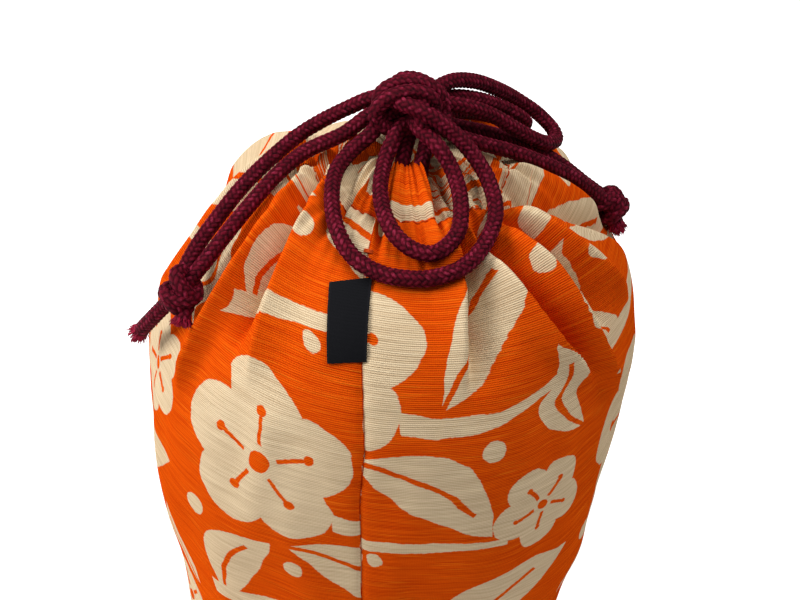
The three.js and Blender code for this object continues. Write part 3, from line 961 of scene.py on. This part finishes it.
# Ribbon is stiffer than cotton, so its edges keep one even bend
rows = np.arange(label_row_count)
for side in (0, 1):
    for axis in (1, 2):
        edges[:, side, axis] = np.polyval(np.polyfit(rows, edges[:, side, axis], 2), rows)
down = edges[-1].mean(axis=0) - edges[0].mean(axis=0)
label_normal = np.cross(edges[:, 1].mean(axis=0) - edges[:, 0].mean(axis=0), down)
label_normal /= np.linalg.norm(label_normal)
label_normal *= -1 if label_normal[1] > 0 else 1
label_columns = 14
label_points, label_faces = [], []
for side in (0, 1):
    for row in edges:
        for share in np.linspace(0, 1, label_columns):
            middle = row[0] * (1 - share) + row[1] * share
            swell = 0.35 * math.sin(math.pi * share)
            lift = 0.9 + 0.3 * (1 - share) + swell - side * label_thickness
            label_points.append(middle + label_normal * lift)
per_side = label_row_count * label_columns


def label_index(side, row, column):
    return side * per_side + row * label_columns + column


for row in range(label_row_count - 1):
    for column in range(label_columns - 1):
        quad = [(row, column), (row, column + 1), (row + 1, column + 1), (row + 1, column)]
        label_faces.append([label_index(0, *q) for q in reversed(quad)])
        label_faces.append([label_index(1, *q) for q in quad])
rim = [(0, c) for c in range(label_columns)]
rim += [(r, label_columns - 1) for r in range(1, label_row_count)]
rim += [(label_row_count - 1, c) for c in range(label_columns - 2, -1, -1)]
rim += [(r, 0) for r in range(label_row_count - 2, 0, -1)]
for here, there in zip(rim, rim[1:] + rim[:1]):
    label_faces.append([label_index(0, *here), label_index(0, *there),
                        label_index(1, *there), label_index(1, *here)])
label = make_piece("woven_label", label_points, label_faces, smooth=False)
label_map = label.data.uv_layers.new(name="ribbon")
for loop in label.data.loops:
    place = loop.vertex_index % per_side
    column, row = place % label_columns, place // label_columns
    label_map.data[loop.index].uv = (column / (label_columns - 1) * label_width * MM,
                                     row / (label_row_count - 1) * label_length * MM)
print("label spans", [round(v, 1) for v in np.ptp(np.array(label_points), axis=0)])


# %% [markdown]
# ## Materials
# Shader maths reads best as plain arithmetic, so a small class wraps a socket, and each operator
# adds the Math node that does it.

# %% Shader maths
class Graph:
    """The nodes of one owner: a material or the world."""

    def __init__(self, owner):
        self.owner = owner
        self.owner.use_nodes = True
        self.tree = self.owner.node_tree
        self.tree.nodes.clear()

    def node(self, kind, settings=None, **values):
        """Any node: its type, its settings, and what its sockets hold or are linked to.

        A socket goes by its name, or by its number as i0, i1 and so on.
        """
        made = self.tree.nodes.new(kind)
        for key, value in (settings or {}).items():
            setattr(made, key, value)
        for key, value in values.items():
            place = int(key[1:]) if key[1:].isdigit() else key.replace("_", " ")
            socket = made.inputs[place]
            if isinstance(value, Value):
                self.tree.links.new(value.socket, socket)
            else:
                socket.default_value = value
        return made

    def value(self, made, output=0):
        return Value(self, made.outputs[output])

    def maths(self, operation, *inputs):
        numbered = {f"i{i}": given for i, given in enumerate(inputs)}
        made = self.node("ShaderNodeMath", {"operation": operation}, **numbered)
        return self.value(made)

    def attribute(self, name):
        return self.value(self.node("ShaderNodeAttribute", {"attribute_name": name}), "Fac")

    def flat_place(self, layer):
        """The two flat coordinates of a UV layer, in millimetres."""
        made = self.node("ShaderNodeUVMap", {"uv_map": layer})
        split = self.node("ShaderNodeSeparateXYZ", None, Vector=self.value(made))
        return self.value(split, "X") / MM, self.value(split, "Y") / MM

    def noise(self, x, y, z=0.0, detail=2.0, roughness=0.5):
        joined = self.node("ShaderNodeCombineXYZ", None, X=x, Y=y, Z=z)
        made = self.node("ShaderNodeTexNoise", {"noise_dimensions": "3D"}, Vector=self.value(joined),
                         Scale=1.0, Detail=detail, Roughness=roughness)
        return self.value(made, "Fac")

    def mix(self, share, first, second, blend="MIX"):
        settings = {"data_type": "RGBA", "blend_type": blend, "clamp_factor": True}
        return self.value(self.node("ShaderNodeMix", settings, i0=share, i6=first, i7=second), 2)

    def finish(self, **surface):
        """A Principled surface with these sockets, and the output."""
        shader = self.node("ShaderNodeBsdfPrincipled", None, **surface)
        self.node("ShaderNodeOutputMaterial", None, Surface=self.value(shader))
        return self.owner


class Value:
    """What one output gives. Arithmetic on a number adds Math nodes."""

    def __init__(self, graph, socket):
        self.graph, self.socket = graph, socket

    def __add__(self, other):
        return self.graph.maths("ADD", self, other)

    def __radd__(self, other):
        return self.graph.maths("ADD", other, self)

    def __sub__(self, other):
        return self.graph.maths("SUBTRACT", self, other)

    def __rsub__(self, other):
        return self.graph.maths("SUBTRACT", other, self)

    def __mul__(self, other):
        return self.graph.maths("MULTIPLY", self, other)

    def __rmul__(self, other):
        return self.graph.maths("MULTIPLY", other, self)

    def __truediv__(self, other):
        return self.graph.maths("DIVIDE", self, other)

    def __pow__(self, other):
        return self.graph.maths("POWER", self, other)

    def floor(self):
        return self.graph.maths("FLOOR", self)

    def fract(self):
        return self.graph.maths("FRACT", self)

    def absolute(self):
        return self.graph.maths("ABSOLUTE", self)

    def sine(self):
        return self.graph.maths("SINE", self)

    def root(self):
        return self.graph.maths("SQRT", self)

    def least(self, other):
        return self.graph.maths("MINIMUM", self, other)

    def most(self, other):
        return self.graph.maths("MAXIMUM", self, other)

    def step(self, low, high):
        """0 below low, 1 above high, smooth between."""
        made = self.graph.node("ShaderNodeMapRange", {"interpolation_type": "SMOOTHSTEP"},
                               Value=self, From_Min=low, From_Max=high)
        return self.graph.value(made)


# %% [markdown]
# ## The print
# The cloth carries a bold old-style print: plum blossoms, long leaves, stems and berries in cream
# on orange. Each shape is a formula in flat millimetres, negative inside and positive outside, so
# it stays crisp at any distance. One tile repeats round the sack with a half drop, and the two
# panels of cloth were cut at different heights, so the print doesn't meet at the seams.

# %% Shapes of the print
tile_width = cloth_girth / 4
tile_height = 132.0


def turned(x, y, centre, degrees):
    """x and y seen from a shape's own middle and direction."""
    c, s = math.cos(math.radians(degrees)), math.sin(math.radians(degrees))
    dx, dy = x - centre[0], y - centre[1]
    return dx * c + dy * s, dy * c - dx * s


def disc(x, y, centre, radius):
    dx, dy = x - centre[0], y - centre[1]
    return (dx * dx + dy * dy).root() - radius


def leaf(x, y, centre, degrees, length, width):
    """A pointed leaf, a little curved, with an open midrib."""
    along, across = turned(x, y, centre, degrees)
    reach = along / (length / 2)
    curved = across + (reach * reach - 0.5) * (width * 0.36)
    body = curved.absolute() - (1 - reach * reach) * (width / 2)
    rib = (1.15 - curved.absolute()).least(length * 0.30 - along)
    return body.most(rib)


def stem(x, y, start, end, bow, half_band):
    """A band that bows between two points and grows thinner on its way."""
    middle = ((start[0] + end[0]) / 2, (start[1] + end[1]) / 2)
    span = math.dist(start, end)
    along, across = turned(x, y, middle, math.degrees(math.atan2(end[1] - start[1], end[0] - start[0])))
    reach = along / (span / 2)
    band = (across - (1 - reach * reach) * bow).absolute() - (1.0 - reach * 0.45) * half_band
    return band.most(along.absolute() - span / 2)


def blossom(graph, x, y, centre, size, turn):
    """Five round petals, with a small open eye and stamens."""
    px, py = turned(x, y, centre, turn)
    reach = (px * px + py * py).root()
    fifth = 2 * math.pi / 5
    angle = graph.maths("ARCTAN2", py, px) / fifth
    folded = ((angle + 0.5).fract() - 0.5) * fifth
    fx = reach * graph.maths("COSINE", folded)
    fy = reach * folded.sine()
    petal = disc(fx, fy, (size * 0.56, 0.0), size * 0.42).least(reach - size * 0.3)
    stamen = (0.9 - fy.absolute()).least(size * 0.5 - fx).least(fx - size * 0.2)
    seed = size * 0.055 - disc(fx, fy, (size * 0.54, 0.0), 0.0)
    eye = size * 0.1 - (reach - size * 0.06).absolute() * 1.6
    return petal.most(stamen).most(seed).most(eye)


def print_shapes(graph, across, up):
    """The whole tile: less than 0 where the print is cream."""
    panel = (across / (cloth_girth / 2)).floor()
    shifted = up + panel * 47.0 + 22.0
    moved = across + 58.0 + panel * 23.0
    column = (moved / tile_width).floor()
    x = (moved / tile_width).fract() * tile_width - tile_width / 2
    y = ((shifted + column * (tile_height / 2)) / tile_height).fract() * tile_height - tile_height / 2
    shapes = blossom(graph, x, y, (-34, 24), 37, 20)
    shapes = shapes.least(blossom(graph, x, y, (51, -42), 22, 50))
    for centre, degrees, length, width in (
        ((35, 37), 38, 78, 31), ((6, -27), -34, 64, 27), ((-47, -37), 62, 54, 25), ((61, 3), 112, 42, 19),
    ):
        shapes = shapes.least(leaf(x, y, centre, degrees, length, width))
    for start, end, bow, half_band in (
        ((-64, -61), (36, -54), 5, 3.0), ((-6, 4), (54, 12), -5, 3.0),
    ):
        shapes = shapes.least(stem(x, y, start, end, bow, half_band))
    for centre, radius in (((-66, -16), 4.6), ((-22, -26), 4.0), ((-13, -60), 3.4), ((28, -9), 4.4)):
        shapes = shapes.least(disc(x, y, centre, radius))
    return shapes


# %% [markdown]
# The cotton is a slub weave: thick and thin weft threads lie side by side as ribs a little under
# a millimetre apart, crossed by a finer warp. Rows of lighter slubs run round the sack.

# %% Printed cotton
# Lit and shaded tones of each colour: the lighter one is painted highlight on the tops of the ribs, the
# darker one painted shade in the gaps between them.
orange_ink = (0.88, 0.122, 0.004, 1)
orange_rib_shade = (0.50, 0.024, 0.001, 1)
cream_cloth = (0.88, 0.71, 0.47, 1)
cream_shade = (0.50, 0.34, 0.19, 1)
rib_pitch = 0.72


def printed_cotton():
    graph = Graph(bpy.data.materials.new("printed_cotton"))
    across, up = graph.flat_place("flat_cloth")
    wobble = graph.noise(across / 14, up / 14, detail=1.0) - 0.5
    shake = graph.noise(across / 1.6, up / 0.9, 4.0, detail=1.0) - 0.5
    shapes = print_shapes(graph, across + wobble * 4.0, up + wobble * 3.0)
    cream = 1 - (shapes + shake * 0.8).step(-0.2, 0.2)
    thickness = graph.noise(across / 26, up / 1.1, 9.0, detail=3.0, roughness=0.6)
    drift = graph.noise(across / 45, up / 6.0, 2.0) * 0.8
    ribs = ((up / rib_pitch + drift) * (2 * math.pi)).sine() * 0.5 + 0.5
    warp = (across * (2 * math.pi / 0.62)).sine() * 0.5 + 0.5
    slub = graph.noise(across / 22, up / 0.60, 21.0, detail=1.0).step(0.58, 0.76)
    # The ribs paint shade into the gaps between the threads and highlight on their tops; the thick and thin
    # threads add a tone that differs at random.
    thread = ribs ** 0.7 * 0.66 + warp * 0.12
    shading = thread + (thickness - 0.5) * 1.3 + 0.10
    ink = graph.mix(shading, orange_rib_shade, orange_ink)
    ink = graph.mix(slub * 0.55, ink, (0.92, 0.22, 0.012, 1))
    bare = graph.mix(shading, cream_shade, cream_cloth)
    patches = graph.noise(across / 60, up / 60, 5.0, detail=2.0)
    colour = graph.mix(cream, ink, bare)
    colour = graph.mix((patches - 0.35) * 0.35, colour, (0.35, 0.20, 0.10, 1), "MULTIPLY")
    # Painted shade: a thin darker red line along both seams, where the seam groove lies.
    to_seam = ((across / (cloth_girth / 2) + 0.5).fract() - 0.5).absolute() * (cloth_girth / 2)
    colour = graph.mix((1 - to_seam.step(0.1, 0.6)) * 0.8, colour, (0.45, 0.12, 0.05, 1), "MULTIPLY")
    bump = graph.node("ShaderNodeBump", None, Strength=0.7, Distance=0.00034,
                      Height=thread + thickness * 0.8 + slub * 0.5)
    return graph.finish(Base_Color=colour, Roughness=0.90, Normal=graph.value(bump),
                        Specular_IOR_Level=0.0)


# %% [markdown]
# The cord is a smooth, slightly shiny yarn. Fine fibres run along each yarn. The tops of the yarns carry
# a paler painted highlight, and the gaps between the yarns a nearly black painted shade.

# %% Braided cord
def braided_cord():
    graph = Graph(bpy.data.materials.new("braided_cord"))
    height = graph.attribute("braid_height")
    across = graph.attribute("yarn_across")
    fibres = (across * (2 * math.pi * 6)).sine() * 0.5 + 0.5
    place = graph.node("ShaderNodeTexCoord")
    grain = graph.value(graph.node("ShaderNodeTexNoise", None, Vector=graph.value(place, "Object"),
                                   Scale=900.0, Detail=2.0), "Fac")
    own_tone = graph.attribute("yarn_tone")
    # Painted shade and highlight: low places of the braid are darker and its tops paler; each yarn's own tone
    # and the grain differ at random.
    tone = (height * 0.72 + fibres * 0.14 + grain * 0.30 + own_tone * 0.22 - 0.14).step(0.05, 1.05)
    colour = graph.mix(tone, (0.010, 0.0003, 0.0016, 1), (0.155, 0.0042, 0.0175, 1))
    # Painted glints: small pale pink speckles on the tops of the yarns.
    painted_glint = (grain + own_tone * 0.25).step(0.62, 0.85) * height.step(0.4, 0.9)
    colour = graph.mix(painted_glint * 0.55, colour, (0.34, 0.030, 0.075, 1))
    colour = graph.mix(height.step(1.0, 1.5) * 0.9, colour, (0.40, 0.012, 0.045, 1))
    bump = graph.node("ShaderNodeBump", None, Strength=0.6, Distance=0.00012, Height=fibres + grain)
    return graph.finish(Base_Color=colour, Roughness=0.60, Normal=graph.value(bump),
                        Specular_IOR_Level=0.06)


# %% Woven ribbon
def woven_ribbon():
    graph = Graph(bpy.data.materials.new("woven_ribbon"))
    across, along = graph.flat_place("ribbon")
    weft = (along * (2 * math.pi / 0.42)).sine() * 0.5 + 0.5
    warp = ((across + along * 0.5) * (2 * math.pi / 0.5)).sine() * 0.5 + 0.5
    grain = graph.noise(across * 3, along * 3, 1.0)
    weave = weft * 0.5 + warp * 0.3 + grain * 0.4
    selvedge = (across - label_width / 2).absolute().step(label_width / 2 - 0.9, label_width / 2 - 0.4)
    colour = graph.mix(weave, (0.0012, 0.0013, 0.0018, 1), (0.0070, 0.0072, 0.0095, 1))
    colour = graph.mix(selvedge * 0.4, colour, (0.012, 0.012, 0.015, 1))
    bump = graph.node("ShaderNodeBump", None, Strength=0.5, Distance=0.00012, Height=weave)
    return graph.finish(Base_Color=colour, Roughness=0.7, Normal=graph.value(bump),
                        Specular_IOR_Level=0.08)


# %% Sewing thread
def sewing_thread():
    graph = Graph(bpy.data.materials.new("sewing_thread"))
    place = graph.node("ShaderNodeTexCoord")
    grain = graph.value(graph.node("ShaderNodeTexNoise", None, Vector=graph.value(place, "Object"),
                                   Scale=2500.0, Detail=1.0), "Fac")
    colour = graph.mix(grain, (0.34, 0.02, 0.002, 1), (0.70, 0.10, 0.01, 1))
    bump = graph.node("ShaderNodeBump", None, Strength=0.5, Distance=0.0001, Height=grain)
    return graph.finish(Base_Color=colour, Roughness=0.7, Normal=graph.value(bump),
                        Specular_IOR_Level=0.1)


cotton = printed_cotton()
cord_finish = braided_cord()
ribbon = woven_ribbon()
thread_finish = sewing_thread()
print("the cotton has", len(cotton.node_tree.nodes), "nodes")

# %% Dress the pieces
sack.data.materials.append(cotton)
label.data.materials.append(ribbon)
stitches.data.materials.append(thread_finish)
for piece in [*strands.values(), bow_knot, left_knot, right_knot, *tufts.values()]:
    piece.data.materials.append(cord_finish)

# %% [markdown]
# ## Floor and light
# The bag stands on a pale table in a bright studio: a soft key lamp at the upper left, and a weaker
# one above, slightly to the right. The camera sees the table as nearly white, with the bag's soft
# shadow. The glow is only for the camera, so it doesn't light the bag.

# %% Floor
def pale_floor():
    graph = Graph(bpy.data.materials.new("pale_floor"))
    seen = graph.value(graph.node("ShaderNodeLightPath"), "Is Camera Ray")
    matte = graph.value(graph.node("ShaderNodeBsdfDiffuse", None, Color=(0.86, 0.86, 0.86, 1)))
    glow = graph.value(graph.node("ShaderNodeEmission", None, Color=(1, 1, 1, 1), Strength=0.60))
    both = graph.value(graph.node("ShaderNodeAddShader", None, i0=matte, i1=glow))
    chosen = graph.value(graph.node("ShaderNodeMixShader", None, i0=seen, i1=matte, i2=both))
    graph.node("ShaderNodeOutputMaterial", None, Surface=chosen)
    return graph.owner


floor_half = 9000.0
floor_level = -0.2
corners = ((-1, -1), (1, -1), (1, 1), (-1, 1))
floor_points = [[x * floor_half, y * floor_half, floor_level] for x, y in corners]
floor = make_piece("floor", floor_points, [(0, 1, 2, 3)])
floor.data.materials.append(pale_floor())


# %% Lamps
def soft_lamp(name, place, size, power, aim=(0, 0, 0.15)):
    data = bpy.data.lights.new(name, "AREA")
    data.shape = "RECTANGLE"
    data.size, data.size_y = size
    data.energy = power
    lamp = bpy.data.objects.new(name, data)
    bpy.context.collection.objects.link(lamp)
    lamp.location = place
    lamp.rotation_euler = (Vector(aim) - Vector(place)).to_track_quat("-Z", "Y").to_euler()


soft_lamp("key", (-1.05, -0.35, 0.95), (0.7, 0.7), 18.0)
soft_lamp("top", (0.35, 0.1, 1.3), (0.8, 0.8), 10.0)


# %% World
def studio():
    """A dim white sky lights the bag, and the camera sees plain white behind it."""
    graph = Graph(bpy.data.worlds.new("studio"))
    seen = graph.value(graph.node("ShaderNodeLightPath"), "Is Camera Ray")
    sky, backdrop = (
        graph.value(graph.node("ShaderNodeBackground", None, Color=(1, 1, 1, 1), Strength=strength))
        for strength in (0.22, 1.0)
    )
    chosen = graph.value(graph.node("ShaderNodeMixShader", None, i0=seen, i1=sky, i2=backdrop))
    graph.node("ShaderNodeOutputWorld", None, Surface=chosen)
    return graph.owner


bpy.context.scene.world = studio()
bpy.context.scene.view_settings.view_transform = "Standard"

# %% [markdown]
# ## Every piece rides on the body
# Every piece rides on the one body and stands for its CAD nodes, which are hidden. The four strands
# are free cords.

# %% Ride and replace
for piece, nodes_replaced, slot in (
    (sack, ["bag_body"], "printed_cotton"),
    (label, ["side_label"], "woven_ribbon"),
    (bow_knot, ["bow_knot"], "braided_cord"),
    (left_knot, ["left_end_knot"], "braided_cord"),
    (right_knot, ["right_end_knot"], "braided_cord"),
):
    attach(piece, "root")
    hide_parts(*nodes_replaced)
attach(stitches, "root")
for name, strand in strands.items():
    line, length = strand_lines[name]
    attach(strand, "root")
    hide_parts(*strand_nodes[name])
    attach(tufts[name], "root")
    tuple(line[0] * MM)
    length * MM
    (line * MM).tolist()
